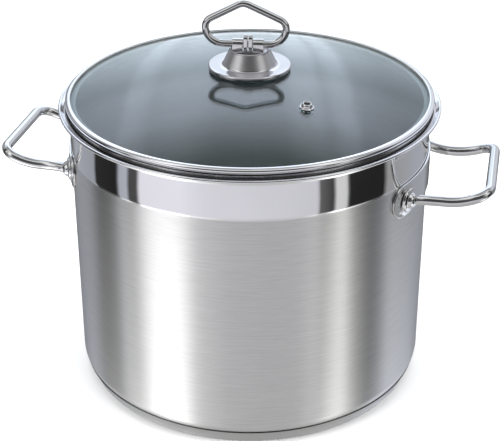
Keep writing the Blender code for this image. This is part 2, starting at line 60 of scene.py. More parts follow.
ROD_RADIUS = 0.0043
GRIP = (0.2058, 0.0485, LIP_Z - 0.0453)             # corner of a handle's crossbar
GRIP_CORNER = 0.0140
ARM_MID = (0.182, 0.0495, LIP_Z - 0.0539)
ARM_BEND = 0.060
ARM_TOE = (0.160, 0.0491, LIP_Z - 0.0541)
TOE_BEND = 0.048
STRAP_INNER = BODY_RADIUS + GAP
STRAP_SHEET = 0.0015
STRAP_OUTER = STRAP_INNER + STRAP_SHEET
STRAP_HALF_LENGTH = 0.0805
STRAP_HALF_HEIGHT = 0.0142
STRAP_Z = LIP_Z - 0.0500
BOSS_ANGLE = 22.0                   # degrees to either side of the handle's middle
BOSS_Z = LIP_Z - 0.0512
BOSS_RADIUS = 0.0100
BOSS_HEIGHT = 0.0066

GLASS_RADIUS = 0.1506
GLASS_THICKNESS = 0.0035
GLASS_BORE = 0.0050
GLASS_LAND_RADIUS = 0.1445          # where the CAD glass's flat edge starts
GLASS_LAND_Z = LIP_Z + 0.0069
DOME_RISE = 0.0221
DOME_SPHERE = (GLASS_LAND_RADIUS ** 2 + DOME_RISE ** 2) / (2 * DOME_RISE)
DOME_TOP_Z = GLASS_LAND_Z + DOME_RISE
VENT_RADIUS = 0.0835                # from the lid's axis
VENT_ANGLE = -45.7                  # degrees from +X
LID_YAW = 7.0                       # degrees that the knob's clip and ring are turned
KNOB_RADIUS = 0.0344
KNOB_FLANGE_Z = LIP_Z + 0.0323
CONE_TOP_RADIUS = 0.0166
CONE_TOP_Z = LIP_Z + 0.0456
CONE_FOOT_RADIUS = 0.0222
CUP_FLOOR_Z = LIP_Z + 0.0428
RING_WIRE = 0.0030
RING_PIVOT_Z = LIP_Z + 0.0493
RING_SHIFT = -0.0032
RING_HALF_BASE = 0.0303
RING_HALF_WIDTH = 0.0348
RING_SHOULDER_Z = 0.0185            # the ring's and the clip's heights are from the pivot
RING_APEX_X = -0.0020
RING_APEX_Z = 0.0356
CLIP_HALF_WIDTH = 0.0130
CLIP_SHIFT = -0.0012
CLIP_INNER_EDGE = 0.0042
CLIP_OUTER_RADIUS = 0.0046
CLIP_CLEARANCE = 0.00045            # round the ring's wire
CLIP_PLATE = 0.0012
TONGUE_TOP_Z = 0.0079
TONGUE_HALF_TOP = 0.0034
TONGUE_HALF_WIDTH = 0.0036
TONGUE_SLOT = 0.0009

RACK_RADIUS = 0.137
RACK_WIRE = 0.0020
RACK_Z = POT_FLOOR_Z + 0.0142
SUPPORT_Y = 0.062
CROSS_WIRE = 0.00175
CROSS_PITCH = 0.028
CROSS_COUNT = 9
CROSS_Z = RACK_Z + RACK_WIRE + GAP + CROSS_WIRE
FOOT_HALF_WIDTH = 0.015
EYE_RADIUS = 0.0032
EYE_WIRE = 0.0008
BAIL_Z = CROSS_Z + CROSS_WIRE + GAP + EYE_WIRE + EYE_RADIUS
BAIL_PIVOT_Y = 0.112
BAIL_HALF_WIDTH = 0.049
BAIL_END_X = 0.063
BAIL_REACH = 0.095

# --- Sizes of the smoother meshes alone ---------------------------------------------------------
BAND_FOOT_Z = LIP_Z - 0.0352        # where the polished band ends and the brushing starts
BOSS_SEAT = 0.0012                  # how far a boss goes into its strap
KNOB_SHEET = 0.0012
ROUND = 192                         # facets round a large turned piece
FINE_ROUND = 256                    # and where its outline shows most
SMALL_ROUND = 64


# --- Node helpers -------------------------------------------------------------------------------
class Nodes:
    """Builds a node tree: each call makes a node and links or sets its inputs."""

    def __init__(self, tree):
        self.tree = tree

    def feed(self, socket, value):
        """Links a socket to another one, or sets its value."""
        if isinstance(value, bpy.types.NodeSocket):
            self.tree.links.new(value, socket)
        else:
            socket.default_value = value

    def make(self, kind, inputs=(), **settings):
        node = self.tree.nodes.new(kind)
        for name, value in settings.items():
            setattr(node, name, value)
        for key, value in dict(inputs).items():
            self.feed(node.inputs[key], value)
        return node

    def math(self, operation, *values):
        return self.make("ShaderNodeMath", dict(enumerate(values)), operation=operation).outputs[0]

    def smooth(self, value, start, end, low=0.0, high=1.0):
        node = self.make("ShaderNodeMapRange", {0: value, 1: start, 2: end, 3: low, 4: high},
                         interpolation_type="SMOOTHSTEP")
        return node.outputs[0]

    def mix(self, share, low, high):
        """Mixes two colours, given as sockets or as (red, green, blue)."""
        node = self.make("ShaderNodeMix", {0: share}, data_type="RGBA")
        for index, value in ((6, low), (7, high)):
            self.feed(node.inputs[index], (*value, 1.0) if isinstance(value, tuple) else value)
        return node.outputs[2]

    def blend(self, share, low, high):
        """Mixes two numbers."""
        return self.make("ShaderNodeMix", {0: share, 2: low, 3: high}).outputs[0]

    def ramp(self, value, stops):
        node = self.make("ShaderNodeValToRGB", {0: value})
        ramp = node.color_ramp
        while len(ramp.elements) < len(stops):
            ramp.elements.new(0.5)
        for element, (place, colour) in zip(ramp.elements, stops):
            element.position = place
            element.color = (*colour, 1.0)
        return node.outputs[0]

    def noise(self, vector, scale, detail=3.0, rough=0.5):
        inputs = {"Vector": vector, "Scale": scale, "Detail": detail, "Roughness": rough}
        return self.make("ShaderNodeTexNoise", inputs).outputs["Fac"]

    def stretched(self, vector, scale):
        return self.make("ShaderNodeMapping", {0: vector, 3: scale}).outputs[0]


def material(name, metallic=1.0, **sockets):
    """A Principled material; sockets hold what is the same all over."""
    made = bpy.data.materials.new(name)
    made.use_nodes = True
    shader = made.node_tree.nodes["Principled BSDF"]
    shader.inputs["Metallic"].default_value = metallic
    for key, value in sockets.items():
        shader.inputs[key.replace("_", " ")].default_value = value
    maker = Nodes(made.node_tree)
    place = maker.make("ShaderNodeTexCoord").outputs["Object"]
    return made, maker, shader, place


def grey(level):
    return (level, level, level)


def join(maker, value, shader, socket):
    maker.tree.links.new(value, shader.inputs[socket])


def bump(maker, shader, height, strength, distance):
    node = maker.make("ShaderNodeBump", {"Height": height, "Strength": strength, "Distance": distance})
    join(maker, node.outputs[0], shader, "Normal")


# --- Materials ----------------------------------------------------------------------------------
def wall_steel():
    """The shell: a polished band under the lip, brushing round the rest, satin inside, with painted shade
    darkening the inside floor.
    """
    made, m, shader, place = material("shell_steel", Anisotropic=0.92, Anisotropic_Rotation=0.25)
    x, y, z = m.make("ShaderNodeSeparateXYZ", {0: place}).outputs
    radius = m.math("SQRT", m.math("ADD", m.math("MULTIPLY", x, x), m.math("MULTIPLY", y, y)))
    outside = m.smooth(radius, BODY_RADIUS - WALL + 0.0001, BODY_RADIUS - WALL + 0.0003)
    band = m.math("MULTIPLY", outside, m.smooth(z, BAND_FOOT_Z - 0.0010, BAND_FOOT_Z - 0.0004))
    fine = m.noise(m.stretched(place, (50.0, 50.0, 2200.0)), 1.0, 4.0, 0.65)
    coarse = m.noise(m.stretched(place, (26.0, 26.0, 1000.0)), 1.0, 3.0, 0.6)
    streak = m.math("ADD", m.math("MULTIPLY", fine, 0.7), m.math("MULTIPLY", coarse, 0.3))
    brushed = m.mix(m.smooth(streak, 0.3, 0.7), (0.60, 0.60, 0.59), (0.72, 0.72, 0.71))
    polish = m.noise(place, 30.0, 2.0)
    shine = m.mix(polish, (0.77, 0.77, 0.78), (0.82, 0.82, 0.83))
    # painted shade: the pot's inside floor is darkened to a flat grey
    floor_painted_shade = m.smooth(z, POT_FLOOR_Z + 0.0030, POT_FLOOR_Z + 0.0004)
    brushed = m.mix(floor_painted_shade, brushed, grey(0.44))
    join(m, m.mix(band, brushed, shine), shader, "Base Color")
    dull = m.math("ADD", 0.27, m.math("MULTIPLY", streak, 0.05))
    bright = m.math("ADD", 0.03, m.math("MULTIPLY", polish, 0.03))
    join(m, m.blend(band, dull, bright), shader, "Roughness")
    bump(m, shader, m.blend(band, streak, 0.5), 0.3, 0.00003)
    tangent = m.make("ShaderNodeTangent", direction_type="RADIAL", axis="Z").outputs[0]
    join(m, tangent, shader, "Tangent")
    return made


def polished_steel(name, low=0.04, high=0.12, tint=(0.76, 0.76, 0.77), grain=60.0):
    """Mirror-polished steel with faint polishing marks."""
    made, m, shader, place = material(name)
    marks = m.noise(place, grain, 4.0, 0.6)
    smear = m.noise(place, grain * 0.2, 2.0)
    lighter = tuple(c * 1.06 for c in tint)
    join(m, m.mix(smear, tint, lighter), shader, "Base Color")
    join(m, m.smooth(marks, 0.3, 0.75, low, high), shader, "Roughness")
    bump(m, shader, m.noise(place, grain * 8.0, 3.0), 0.04, 0.0001)
    return made


def knob_steel():
    """The knob's cup: satin on the cone, polished on the flange."""
    made, m, shader, place = material("knob_steel")
    z = m.make("ShaderNodeSeparateXYZ", {0: place}).outputs[2]
    grain = m.noise(m.stretched(place, (60.0, 60.0, 700.0)), 1.0, 4.0)
    join(m, m.mix(grain, (0.60, 0.59, 0.60), (0.68, 0.67, 0.68)), shader, "Base Color")
    satin = m.smooth(z, KNOB_FLANGE_Z + 0.0004, KNOB_FLANGE_Z + 0.0020)
    dull = m.math("ADD", 0.30, m.math("MULTIPLY", grain, 0.12))
    bright = m.math("ADD", 0.06, m.math("MULTIPLY", grain, 0.10))
    join(m, m.blend(satin, bright, dull), shader, "Roughness")
    return made


def cast_aluminium():
    """The base's core: dull, with fine grains."""
    made, m, shader, place = material("core_aluminium")
    grains = m.noise(place, 300.0, 3.0)
    join(m, m.mix(grains, (0.62, 0.63, 0.64), (0.72, 0.73, 0.74)), shader, "Base Color")
    join(m, m.smooth(grains, 0.3, 0.7, 0.38, 0.52), shader, "Roughness")
    return made


def clear_glass():
    """Clear tempered glass with a faint blue-green tint and a trace of film."""
    made, m, shader, place = material("lid_clear_glass", metallic=0.0, IOR=1.5, Transmission_Weight=1.0)
    film = m.noise(place, 18.0, 3.0)
    join(m, m.mix(film, (0.70, 0.80, 0.82), (0.74, 0.84, 0.86)), shader, "Base Color")
    join(m, m.smooth(film, 0.35, 0.8, 0.0, 0.02), shader, "Roughness")
    return made


def soft_silicone(name, dark, light):
    """Matt silicone with a little dust."""
    made, m, shader, place = material(name, metallic=0.0)
    dust = m.noise(place, 220.0, 3.0)
    join(m, m.mix(dust, grey(dark), grey(light)), shader, "Base Color")
    join(m, m.smooth(dust, 0.3, 0.7, 0.45, 0.65), shader, "Roughness")
    return made


def floor_material():
    """Pale paper."""
    made, m, shader, place = material("pale_floor", metallic=0.0, Roughness=0.9)
    paper = m.noise(place, 3.0, 2.0)
    join(m, m.mix(paper, grey(0.90), grey(0.92)), shader, "Base Color")
    return made


SHELL = wall_steel()
POLISHED = polished_steel("polished_steel")
ROD_STEEL = polished_steel("rod_steel", 0.05, 0.14, grey(0.60))
PRESSED = polished_steel("pressed_steel", 0.06, 0.16, grey(0.68), 90.0)
RACK_STEEL = polished_steel("rack_wire_steel", 0.12, 0.26, grey(0.66), 120.0)
CAP_STEEL = polished_steel("cap_steel", 0.34, 0.46, (0.50, 0.50, 0.495))
# near-black steel that paints the shadow in the gap between the lid's rim and the pot's lip
SKIRT_PAINTED_SHADOW = polished_steel("skirt_painted_shadow", 0.15, 0.30, grey(0.10))
KNOB_STEEL = knob_steel()
ALUMINIUM = cast_aluminium()
GLASS = clear_glass()
SILICONE = soft_silicone("seal_silicone", 0.020, 0.045)
CLEAR_SILICONE = soft_silicone("clear_silicone", 0.86, 0.92)


# --- Mesh helpers -------------------------------------------------------------------------------
WELD_DISTANCE = 0.0000005
SHARP_ANGLE = math.radians(30.0)
END_EASE = 0.0004                   # radius of the eased end of a rod or wire


def finish_mesh(name, body, verts, faces, look, place=Matrix(), replaces=(), slot="polished_steel"):
    """Makes a piece: a clean mesh with its material, riding on a body and replacing CAD nodes."""
    mesh = bpy.data.meshes.new(name)
    mesh.from_pydata([place @ Vector(v) for v in verts], [], faces)
    work = bmesh.new()
    work.from_mesh(mesh)
    bmesh.ops.remove_doubles(work, verts=work.verts, dist=WELD_DISTANCE)
    bmesh.ops.recalc_face_normals(work, faces=work.faces)
    work.to_mesh(mesh)
    work.free()
    mesh.shade_smooth()
    mesh.set_sharp_from_angle(angle=SHARP_ANGLE)
    thing = bpy.data.objects.new(name, mesh)
    scene.collection.objects.link(thing)
    mesh.materials.append(look)
    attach(thing, body)
    if replaces:
        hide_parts(*replaces)
    return thing


def arc(x, z, radius, start, end, count):
    """Points of an arc from start to end, in degrees."""
    angles = [math.radians(start + (end - start) * i / count) for i in range(count + 1)]
    return [(x + radius * math.cos(a), z + radius * math.sin(a)) for a in angles]


def section_of(points, rounds, rise=0.0):
    """A closed section given in millimetres, with softened corners, as a profile in metres."""
    return softened([(radius * 0.001, rise + height * 0.001) for radius, height in points], rounds)


def softened(points, rounds=2, closed=True):
    """Cuts a chain's corners, so that a bent sheet's section has soft bends."""
    for _ in range(rounds):
        out = [] if closed else [points[0]]
        count = len(points) if closed else len(points) - 1
        for i in range(count):
            a, b = points[i], points[(i + 1) % len(points)]
            out.append((a[0] * 0.75 + b[0] * 0.25, a[1] * 0.75 + b[1] * 0.25))
            out.append((a[0] * 0.25 + b[0] * 0.75, a[1] * 0.25 + b[1] * 0.75))
        if not closed:
            out.append(points[-1])
        points = out
    return points


def lathe(name, body, profile, look, steps=ROUND, closed=True, **rest):
    """Turns a profile of (radius, height) about Z; an open one starts and ends on the axis."""
    verts, rings = [], []
    for radius, height in profile:
        count = 1 if radius < 1e-6 else steps
        rings.append([len(verts) + i for i in range(count)])
        for i in range(count):
            a = math.tau * i / steps
            verts.append((radius * math.cos(a), radius * math.sin(a), height))
    pairs = list(zip(rings, rings[1:]))
    if closed:
        pairs.append((rings[-1], rings[0]))
    faces = []
    for one, two in pairs:
        for i in range(steps):
            j = (i + 1) % steps
            face = [one[i % len(one)], one[j % len(one)], two[j % len(two)], two[i % len(two)]]
            face = list(dict.fromkeys(face))
            if len(face) > 2:
                faces.append(face)
    return finish_mesh(name, body, verts, faces, look, **rest)


def rounded(points, radii, steps=12):
    """A chain of points with each corner rounded to its own radius."""
    chain = [Vector(p) for p in points]
    out = []
    for i, corner in enumerate(chain):
        radius = radii[i]
        if radius == 0.0:
            out.append(corner)
            continue
        before = (chain[i - 1] - corner).normalized()
        after = (chain[(i + 1) % len(chain)] - corner).normalized()
        half = before.angle(after) / 2
        centre = corner + (before + after).normalized() * radius / math.sin(half)
        start = corner + before * radius / math.tan(half) - centre
        end = corner + after * radius / math.tan(half) - centre
        turn = start.angle(end)
        for k in range(steps + 1):
            share = k / steps
            mix = start * math.sin((1 - share) * turn) + end * math.sin(share * turn)
            out.append(centre + mix / math.sin(turn))
    return out


def tube_mesh(points, radius, sides, closed):
    """Vertices and faces of a round bar along a chain of points, with eased ends."""
    points = [Vector(p) for p in points]
    count = len(points)
    tangents = []
    for i in range(count):
        back = points[i - 1] if closed or i else points[i]
        ahead = points[(i + 1) % count] if closed or i < count - 1 else points[i]
        tangents.append((ahead - back).normalized())
    side = tangents[0].orthogonal().normalized()
    frames = []
    for tangent in tangents:
        side = (side - tangent * side.dot(tangent)).normalized()
        frames.append((side.copy(), tangent.cross(side)))
    spots = [(p, radius, f) for p, f in zip(points, frames)]
    if not closed:
        lead, tail = [], []
        for k in range(4):
            a = math.radians(k * 22.5)
            inward = END_EASE * (1 - math.sin(a))
            width = radius - END_EASE * (1 - math.cos(a))
            lead.insert(0, (points[0] + tangents[0] * inward, width, frames[0]))
            tail.append((points[-1] - tangents[-1] * inward, width, frames[-1]))
        spots = lead + spots[1:-1] + tail
    verts, faces = [], []
    for point, width, (across, up) in spots:
        for k in range(sides):
            a = math.tau * k / sides
            verts.append(point + across * (width * math.cos(a)) + up * (width * math.sin(a)))
    rows = len(spots)
    for i in range(rows if closed else rows - 1):
        j = (i + 1) % rows
        for k in range(sides):
            n = (k + 1) % sides
            faces.append([i * sides + k, i * sides + n, j * sides + n, j * sides + k])
    if not closed:
        faces.append(list(range(sides))[::-1])
        faces.append([(rows - 1) * sides + k for k in range(sides)])
    return verts, faces


def tube(name, body, points, radius, look, sides, closed=False, **rest):
    """A piece that is a round rod or wire."""
    verts, faces = tube_mesh(points, radius, sides, closed)
    return finish_mesh(name, body, verts, faces, look, **rest)


def block(name, body, outlines, half_depth, look, ease=0.0003, **rest):
    """A flat outline with holes, thickened along local Z, with eased edges."""
    curve = bpy.data.curves.new(name, "CURVE")
    curve.dimensions = "2D"
    curve.fill_mode = "BOTH"
    curve.extrude = half_depth - ease
    curve.bevel_depth = ease
    curve.bevel_resolution = 2
    curve.offset = -ease
    for outline in outlines:
        spline = curve.splines.new("POLY")
        spline.points.add(len(outline) - 1)
        for corner, (x, y) in zip(spline.points, outline):
            corner.co = (x, y, 0.0, 1.0)
        spline.use_cyclic_u = True
    thing = bpy.data.objects.new(name + "_curve", curve)
    scene.collection.objects.link(thing)
    bpy.context.view_layer.update()
    mesh = bpy.data.meshes.new_from_object(thing.evaluated_get(bpy.context.evaluated_depsgraph_get()))
    verts = [tuple(v.co) for v in mesh.vertices]
    faces = [list(p.vertices) for p in mesh.polygons]
    bpy.data.objects.remove(thing, do_unlink=True)
    bpy.data.curves.remove(curve)
    bpy.data.meshes.remove(mesh)
    return finish_mesh(name, body, verts, faces, look, **rest)


# --- The pot ------------------------------------------------------------------------------------
def pot_shell():
    """One pressing: floor, corner, wall, flare and rolled lip, inside and out."""
    flare_x = BODY_RADIUS - WALL + FLARE_RADIUS
    flare_z = LIP_Z - 0.0062
    bead_x, bead_z = LIP_RADIUS - BEAD_RADIUS, LIP_Z + 0.0005
    corner_x, corner_z = BODY_RADIUS - SHELL_CORNER, SHELL_BOTTOM_Z + SHELL_CORNER
    rows = (0.06, 0.10, 0.14, 0.18)     # rows of facets up the plain wall
    top_row = 0.225
    flat = (0.0, 0.05, 0.10)            # and out over the bottom
    # Height over the band's foot and depth of the shallow step where the polish ends.
    step = [(0.0022, 0.0), (0.0010, 0.00001), (0.0004, 0.00004), (-0.0004, 0.00010), (-0.0012, 0.00012)]
    step += [(-0.0040, 0.00008), (-0.0080, 0.00003), (-0.0120, 0.0)]
    profile = [(radius, POT_FLOOR_Z) for radius in flat]
    profile += arc(corner_x, corner_z, SHELL_CORNER - WALL, 270, 360, 14)
    profile += [(BODY_RADIUS - WALL, z) for z in (*rows, BAND_FOOT_Z, top_row)]
    profile += arc(flare_x, flare_z, FLARE_RADIUS, 180, 102, 14)
    profile += arc(bead_x, bead_z, BEAD_RADIUS, 130, -140, 18)
    profile += arc(flare_x, flare_z, FLARE_RADIUS - WALL, 106, 180, 14)
    profile += [(BODY_RADIUS, top_row)]
    profile += [(BODY_RADIUS - depth, BAND_FOOT_Z + z) for z, depth in step]
    profile += [(BODY_RADIUS, z) for z in reversed(rows)]
    profile += arc(corner_x, corner_z, SHELL_CORNER, 0, -90, 14)
    profile += [(radius, SHELL_BOTTOM_Z) for radius in reversed(flat)]
    lathe("shell", "pot", profile, SHELL, steps=FINE_ROUND, closed=False, replaces=["pot_shell"],
          slot="brushed_steel")


def base_cap():
    """The steel cap under the pot, narrower at its foot."""
    edge = 0.0002
    corner = 0.0015
    profile = [(0.0, CAP_SHEET), (CAP_FOOT_RADIUS - 0.0016, CAP_SHEET)]
    profile += [(CAP_FOOT_RADIUS - CAP_SHEET, CAP_FOOT_Z), (CAP_TOP_RADIUS - CAP_SHEET, CAP_TOP_Z - edge)]
    profile += [(CAP_TOP_RADIUS - edge, CAP_TOP_Z)]
    profile += [(CAP_TOP_RADIUS, CAP_TOP_Z - 2 * edge)]
    profile += arc(CAP_FOOT_RADIUS - corner, CAP_FOOT_Z - 0.0001, corner, 0, -90, 6)
    profile += [(0.10, 0.0), (0.0, 0.0)]
    lathe("base_cap_turned", "pot", profile, CAP_STEEL, steps=FINE_ROUND, closed=False, replaces=["base_cap"])


# Weld dimples on each half of a strap, from its middle: along it and up.
DIMPLES = ((0.0745, -0.0010), (0.0712, -0.0095), (0.0615, -0.0115), (0.0345, -0.0030), (0.0745, 0.0060))
DIMPLE_DEPTH = 0.00035
DIMPLE_RADIUS = 0.0008
BOSS_RING_RADIUS = 0.0118
BOSS_RING_RISE = 0.0007
BOSS_RING_BEND = 0.0005


def strap_height(along, up):
    """How far the strap's face stands out: a raised ring round each boss, and small weld dimples."""
    height = STRAP_SHEET
    boss_along = math.radians(BOSS_ANGLE) * STRAP_OUTER
    boss_up = BOSS_Z - STRAP_Z
    for side in (1, -1):
        away = math.hypot(along - side * boss_along, up - boss_up)
        height += BOSS_RING_RISE / (1 + math.exp((away - BOSS_RING_RADIUS) / BOSS_RING_BEND))
        for spot_along, spot_up in DIMPLES:
            away = math.hypot(along - side * spot_along, up - spot_up)
            height -= DIMPLE_DEPTH * math.exp(-(away / DIMPLE_RADIUS) ** 2)
    return height


def handle_strap(side, turn):
    """A stadium of rings, each a little further in, wrapped round the wall."""
    straight = STRAP_HALF_LENGTH - STRAP_HALF_HEIGHT
    ease = 0.0005
    levels = [(STRAP_HALF_HEIGHT, 0.0), (STRAP_HALF_HEIGHT, STRAP_SHEET - ease)]
    levels += [(STRAP_HALF_HEIGHT - ease * (1 - math.cos(a)), STRAP_SHEET - ease + ease * math.sin(a))
               for a in (math.radians(30), math.radians(60))]
    inner = STRAP_HALF_HEIGHT - ease
    count = 26
    levels += [(inner * (1 - k / count), None) for k in range(count + 1)]
    back = (0.0, 0.0)                   # the middle line of the strap's inner side
    ends, run = 20, 190                 # facets round each end and along each side
    verts = []
    for width, height in levels + [back]:
        row = []
        for sign in (1, -1):
            for k in range(ends + 1):
                a = math.radians(-90 + 180 * k / ends)
                row.append((sign * (straight + width * math.cos(a)), sign * width * math.sin(a)))
            for k in range(1, run):
                row.append((sign * straight * (1 - 2 * k / run), sign * width))
        for along, up in row:
            out = STRAP_INNER + (strap_height(along, up) if height is None else height)
            angle = along / STRAP_OUTER
            verts.append((out * math.cos(angle), out * math.sin(angle), STRAP_Z + up))
    size = len(row)
    faces = []
    for k in range(len(levels) - 1):
        for i in range(size):
            j = (i + 1) % size
            faces.append([k * size + i, k * size + j, (k + 1) * size + j, (k + 1) * size + i])
    last = len(levels) * size
    for i in range(size):
        j = (i + 1) % size
        faces.append([i, last + i, last + j, j])
    finish_mesh(side + "_strap", "pot", verts, faces, PRESSED, place=turn, replaces=[side + "_handle_strap"])


def handle_path():
    """The rod's centre line; its ends stay inside the bosses, clear of the wall."""
    half = [(0.1466, 0.0547, LIP_Z - 0.0522), ARM_TOE, ARM_MID, GRIP]
    radii = [0.0, TOE_BEND, ARM_BEND, GRIP_CORNER]
    other = [(x, -y, z) for x, y, z in reversed(half)]
    return rounded(half + other, radii + radii[::-1], 14)


def handle_boss(name, side, turn, node):
    """A stepped boss on the strap's face, turned about the rod's end."""
    profile = [(0.0, BOSS_HEIGHT), (0.0022, BOSS_HEIGHT - 0.00005), (0.0042, BOSS_HEIGHT - 0.0006)]
    profile += [(0.0058, BOSS_HEIGHT - 0.0020), (0.0065, BOSS_HEIGHT - 0.0036), (0.0068, 0.0026)]
    profile += [(0.0080, 0.0022), (0.0092, 0.0018), (BOSS_RADIUS - 0.0001, 0.0008)]
    profile += [(BOSS_RADIUS, -BOSS_SEAT), (0.0, -BOSS_SEAT)]
    profile = softened(profile, 3, closed=False)
    seat = Matrix.Translation((STRAP_OUTER, 0, BOSS_Z)) @ Matrix.Rotation(math.pi / 2, 4, "Y")
    place = turn @ Matrix.Rotation(math.radians(side * BOSS_ANGLE), 4, "Z") @ seat
    lathe(name, "pot", profile, PRESSED, steps=SMALL_ROUND, closed=False, place=place, replaces=[node])


def side_handles():
    """Both handles: each a strap, a rod and two bosses."""
    for side, turn in (("right", Matrix()), ("left", Matrix.Rotation(math.pi, 4, "Z"))):
        handle_strap(side, turn)
        tube(side + "_grip_rod", "pot", handle_path(), ROD_RADIUS, ROD_STEEL, sides=32, place=turn,
             replaces=[side + "_handle_loop"])
        handle_boss(side + "_boss_rear", 1, turn, side + "_handle_boss_a")
        handle_boss(side + "_boss_front", -1, turn, side + "_handle_boss_b")


# --- The lid ------------------------------------------------------------------------------------
def dome_z(radius, drop=0.0):
    """Height of the CAD dome's face, or of a face that much under it."""
    return DOME_TOP_Z - DOME_SPHERE + math.sqrt(DOME_SPHERE ** 2 - radius ** 2) - drop


def vent_place():
    """A frame on the dome's face, with Z along its normal."""
    angle = math.radians(VENT_ANGLE)
    point = Vector((VENT_RADIUS * math.cos(angle), VENT_RADIUS * math.sin(angle), dome_z(VENT_RADIUS)))
    normal = (point - Vector((0, 0, DOME_TOP_Z - DOME_SPHERE))).normalized()
    return Matrix.Translation(point) @ normal.to_track_quat("Z", "Y").to_matrix().to_4x4()


def lid_glass():
    """The glass; its dome runs on to just inside the rim, where a narrow flat edge starts."""
    ease = 0.0006
    count = 48
    land = 0.1490
    blend = 0.0012
    sphere = (land ** 2 + DOME_RISE ** 2) / (2 * DOME_RISE)

    def cap(radius):
        return DOME_TOP_Z - sphere + math.sqrt(sphere ** 2 - radius ** 2)

    def surface(radius, drop):
        """The dome, with a soft bend where it meets the flat edge."""
        flat = GLASS_LAND_Z - drop
        if radius >= land + blend:
            return flat
        if radius <= land - blend:
            return cap(radius) - drop
        share = (radius - land + blend) / (2 * blend)
        start = cap(land - blend) - drop
        slope = -(land - blend) / math.sqrt(sphere ** 2 - land ** 2)
        h00 = 2 * share ** 3 - 3 * share ** 2 + 1
        h10 = share ** 3 - 2 * share ** 2 + share
        h01 = -2 * share ** 3 + 3 * share ** 2
        return h00 * start + h10 * slope * 2 * blend + h01 * flat

    radii = [GLASS_BORE + (land - GLASS_BORE) * i / count for i in range(count + 1)]
    radii = [r for r in radii if r < land - blend]
    radii += [land - blend + 2 * blend * i / 8 for i in range(9)]
    top = [(r, surface(r, 0.0)) for r in radii]
    bottom = [(r, surface(r, GLASS_THICKNESS)) for r in reversed(radii)]
    edge = arc(GLASS_RADIUS - ease, GLASS_LAND_Z - ease, ease, 90, 0, 4)
    edge += arc(GLASS_RADIUS - ease, GLASS_LAND_Z - GLASS_THICKNESS + ease, ease, 0, -90, 4)
    lathe("dome_glass", "lid", top + edge + bottom, GLASS, steps=FINE_ROUND, replaces=["lid_glass"],
          slot="glass")


def lid_rim():
    """The steel band and its pale seal, and a near-black band round its skirt that paints the shadow of the
    gap over the lip; heights are from the lip.
    """
    section = [(149.9, 8.7), (152.3, 8.4), (153.7, 7.4), (154.1, 6.2), (153.7, 4.4), (152.6, 3.0)]
    section += [(152.1, 2.2), (152.0, -1.6), (150.2, -3.0), (150.0, -6.6), (149.3, -6.6)]
    section += [(149.2, 0.8), (145.0, 1.5), (144.6, 2.1), (151.4, 2.3), (152.8, 4.2)]
    section += [(152.9, 7.0), (152.0, 8.0), (149.9, 8.1)]
    profile = section_of(section, 3, LIP_Z)
    lathe("rim_band", "lid", profile, POLISHED, steps=FINE_ROUND, replaces=["lid_rim"])
    section = [(150.0, 7.75), (151.9, 7.7), (152.5, 6.9), (152.45, 4.4), (151.2, 2.65), (144.9, 2.5)]
    section += [(144.7, 3.0), (150.95, 3.15), (150.95, 7.2), (150.0, 7.2)]
    profile = section_of(section, 2, LIP_Z)
    lathe("rim_seal", "lid", profile, CLEAR_SILICONE, replaces=["lid_rim_gasket"], slot="silicone")
    # painted shadow: a near-black band laid round the rim's skirt, where the gap over the lip is in shade
    section = [(151.95, 0.5), (152.5, 0.4), (152.5, -1.4), (151.90, -1.8)]
    lathe("rim_skirt_painted_shadow", "lid", section_of(section, 1, LIP_Z), SKIRT_PAINTED_SHADOW)


def vent():
    """A riveted eyelet through the glass, on a soft washer; heights are from the glass's face."""
    place = vent_place()
    under = -GLASS_THICKNESS * 1000
    section = [(2.3, 3.2), (2.7, 4.6), (3.0, 4.95), (3.6, 4.75), (4.1, 4.1), (4.35, 3.0), (4.6, 2.3)]
    section += [(5.7, 1.9), (6.0, 1.5), (5.8, 1.2), (3.15, 1.2), (3.15, under - 0.35), (5.4, under - 0.45)]
    section += [(5.4, under - 1.0), (2.3, under - 1.3)]
    lathe("vent_rivet", "lid", section_of(section, 2), PRESSED, steps=SMALL_ROUND, place=place,
          replaces=["vent_eyelet"])
    section = [(3.5, 0.9), (5.7, 0.9), (5.7, 0.3), (3.5, 0.3)]
    lathe("vent_pad", "lid", section_of(section, 2), SILICONE, steps=SMALL_ROUND, place=place,
          replaces=["vent_washer"], slot="silicone")


def knob_cup():
    """The pressed cup: its floor, the cone, and the flange with a short rolled edge."""
    under = KNOB_FLANGE_Z - KNOB_SHEET
    inner = CONE_TOP_RADIUS - KNOB_SHEET
    corner = 0.0008
    lip = 0.0006
    roll = 0.0004
    profile = [(0.0, CUP_FLOOR_Z), (inner - corner, CUP_FLOOR_Z)]
    profile += arc(inner - corner, CUP_FLOOR_Z + corner, corner, -90, 0, 4)[1:]
    profile += arc(CONE_TOP_RADIUS - lip, CONE_TOP_Z - lip, lip, 180, 0, 8)
    slope = [(CONE_TOP_RADIUS, CONE_TOP_Z - 0.0007), (CONE_FOOT_RADIUS, KNOB_FLANGE_Z + 0.0014)]
    slope += [(CONE_FOOT_RADIUS + 0.0006, KNOB_FLANGE_Z + 0.0003)]
    slope += [(CONE_FOOT_RADIUS + 0.0030, KNOB_FLANGE_Z - 0.0001), (KNOB_RADIUS - 0.004, KNOB_FLANGE_Z)]
    profile += softened(slope, 2, closed=False)
    profile += arc(KNOB_RADIUS - KNOB_SHEET, under, KNOB_SHEET, 90, 0, 8)
    profile += arc(KNOB_RADIUS - roll, under - 0.0015, roll, 0, -180, 6)
    profile += [(KNOB_RADIUS - 0.0014, under - 0.0002), (KNOB_RADIUS - 0.0022, under)]
    profile += [(CONE_FOOT_RADIUS, under), (CONE_FOOT_RADIUS - 0.0011, KNOB_FLANGE_Z)]
    profile += [(CONE_TOP_RADIUS, CUP_FLOOR_Z - 0.0010), (0.0, CUP_FLOOR_Z - 0.0010)]
    lathe("knob_cup", "lid", profile, KNOB_STEEL, steps=128, closed=False, replaces=["knob_base"])


